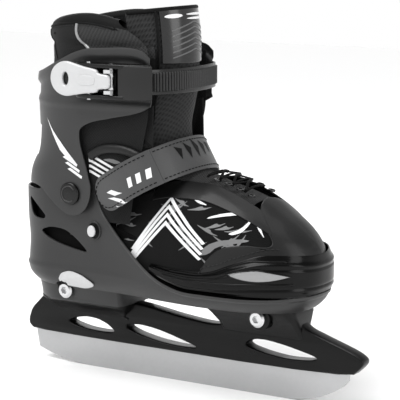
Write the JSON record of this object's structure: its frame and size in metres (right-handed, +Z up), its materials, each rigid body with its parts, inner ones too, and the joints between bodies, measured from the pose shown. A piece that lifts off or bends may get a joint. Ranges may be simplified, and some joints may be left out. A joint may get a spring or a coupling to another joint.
{
  "type": "ice skate",
  "caption": "Size-adjustable hard-shell ice skate with a hinged cuff, ratchet buckle, instep strap, sliding toe piece and a steel blade in a plastic holder.",
  "frame": {"origin": "middle of the blade's ice contact line, halfway between the holder's heel and toe tips", "axes": "+X towards the toe, +Y to the wearer's left (the inner side of this right skate), +Z up"},
  "size_m": [0.2836, 0.1045, 0.269],
  "materials": {
    "badge_plastic": "silver paint",
    "blade_steel": "ground along its length",
    "buckle_plastic": "semi gloss",
    "dark_metal": "satin black",
    "foam": "knitted cover",
    "holder_plastic": "fine moulded texture",
    "lace_cord": "braided",
    "ladder_plastic": "flexible polyurethane",
    "lever_metal": "satin silver",
    "liner_fabric": "padded mesh",
    "pin_steel": "plated",
    "rand_rubber": "semi gloss",
    "shell_plastic": "fine moulded texture",
    "strap_leather": "smooth synthetic with stitched edge",
    "toe_leather": "smooth synthetic"
  },
  "bodies": {
    "boot": {"lower_shell": "shell_plastic", "blade_holder": "holder_plastic", "blade": "blade_steel", "blade_pins": "pin_steel", "heel_bolt": "pin_steel", "heel_nut": "pin_steel", "toe_bolt": "pin_steel", "toe_nut": "pin_steel", "pivot_rivet_lateral": "dark_metal", "pivot_rivet_medial": "dark_metal", "badge_lateral": "badge_plastic", "badge_medial": "badge_plastic", "footbed": "foam", "liner_boot": "liner_fabric", "button_housing": "buckle_plastic", "button_spring": "pin_steel", "instep_strap": "strap_leather", "strap_anchor": "pin_steel"},
    "ankle_cuff": {"cuff": "shell_plastic", "liner_collar": "liner_fabric", "tongue": "liner_fabric", "tongue_label": "badge_plastic", "buckle_base": "buckle_plastic", "base_rivets": "pin_steel", "lever_pin": "pin_steel", "pawl_pin": "pin_steel", "lever_spring": "pin_steel", "ladder_screw": "pin_steel"},
    "buckle_lever": {"lever": "lever_metal"},
    "buckle_pawl": {"pawl": "pin_steel"},
    "ladder": {"ladder_strap": "ladder_plastic"},
    "toe_piece": {"toe_sole": "buckle_plastic", "size_rack": "buckle_plastic", "toe_cap": "toe_leather", "toe_rand": "rand_rubber", "rand_insert_lateral": "badge_plastic", "rand_insert_medial": "badge_plastic", "vamp_lateral": "liner_fabric", "vamp_medial": "liner_fabric", "eyestay_lateral": "toe_leather", "eyestay_medial": "toe_leather", "eyelets": "pin_steel", "laces": "lace_cord"},
    "size_push_button": {"size_button": "lever_metal"},
    "strap_free_end": {"strap_end": "strap_leather"}
  },
  "joints": [
    {"name": "cuff_flex", "type": "hinge", "parent": "boot", "child": "ankle_cuff", "pos_m": [-0.077, 0, 0.137], "axis": [0, 1, 0], "range_deg": [-3, 10]},
    {"name": "lever_open", "type": "hinge", "parent": "ankle_cuff", "child": "buckle_lever", "pos_m": [-0.031, -0.0515, 0.22], "axis": [0, 0, 1], "range_deg": [0, 75], "stiffness_Nm_per_rad": 0.02, "springref_deg": -11.46},
    {"name": "pawl_lift", "type": "hinge", "parent": "ankle_cuff", "child": "buckle_pawl", "pos_m": [-0.05, -0.0515, 0.22], "axis": [0, 0, -1], "range_deg": [0, 10]},
    {"name": "ladder_feed", "type": "slide", "parent": "ankle_cuff", "child": "ladder", "axis": [1, 0, 0], "range_m": [0, 0.015]},
    {"name": "toe_size", "type": "slide", "parent": "boot", "child": "toe_piece", "axis": [1, 0, 0], "range_m": [0, 0.02]},
    {"name": "size_button_press", "type": "slide", "parent": "boot", "child": "size_push_button", "axis": [0, 1, 0], "range_m": [0, 0.002], "stiffness_N_per_m": 400},
    {"name": "strap_peel", "type": "hinge", "parent": "boot", "child": "strap_free_end", "pos_m": [0.00082, -0.02873, 0.16444], "axis": [-0.5, 0, 0.866], "range_deg": [0, 60]}
  ],
  "couplings": [
    {"joint": "pawl_lift", "follows": "lever_open", "ratio": 0.13333}
  ]
}
